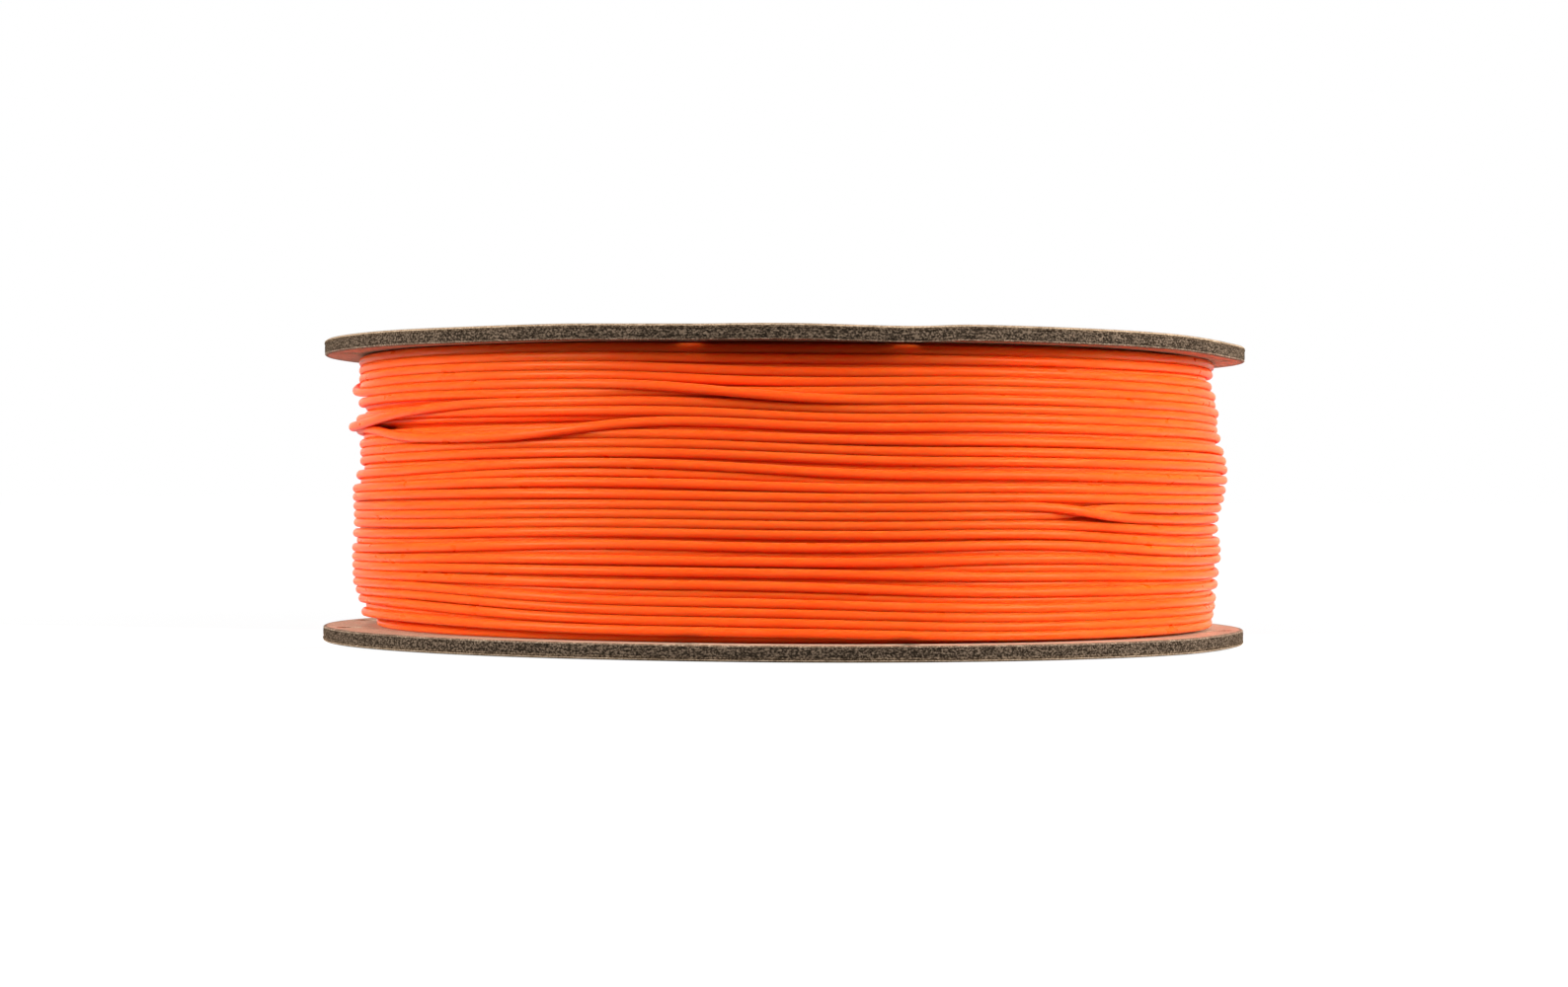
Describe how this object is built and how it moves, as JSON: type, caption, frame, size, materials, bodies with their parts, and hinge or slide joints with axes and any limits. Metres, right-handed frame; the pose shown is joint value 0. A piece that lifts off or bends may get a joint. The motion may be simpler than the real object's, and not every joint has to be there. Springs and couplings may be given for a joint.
{
  "type": "filament spool",
  "caption": "Round cardboard spool with two wide laminated flanges, a spiral-wound core tube and a full winding of orange filament.",
  "frame": {"origin": "on the spool's axis, in the outer face of the lower flange", "axes": "+Z along the spool's axis, up through the core tube; -Y is the front, with a pair of tuck holes centred on it"},
  "size_m": [0.2, 0.2, 0.0647],
  "materials": {
    "kraft_paper": "matte",
    "brown_board": "matte",
    "grey_board": "matte",
    "hot_glue": "satin",
    "filament": "satin"
  },
  "bodies": {
    "root": {"lower_face_liner": "kraft_paper", "lower_backing_ply": "brown_board", "lower_core_board": "grey_board", "lower_inner_liner": "kraft_paper", "upper_face_liner": "kraft_paper", "upper_backing_ply": "brown_board", "upper_core_board": "grey_board", "upper_inner_liner": "kraft_paper", "tube_wrap": "kraft_paper", "tube_board": "grey_board", "tube_lining": "kraft_paper", "lower_glue_bead": "hot_glue", "upper_glue_bead": "hot_glue", "filament_pack": "filament", "filament_outer_layer": "filament", "filament_end": "filament"}
  },
  "joints": []
}
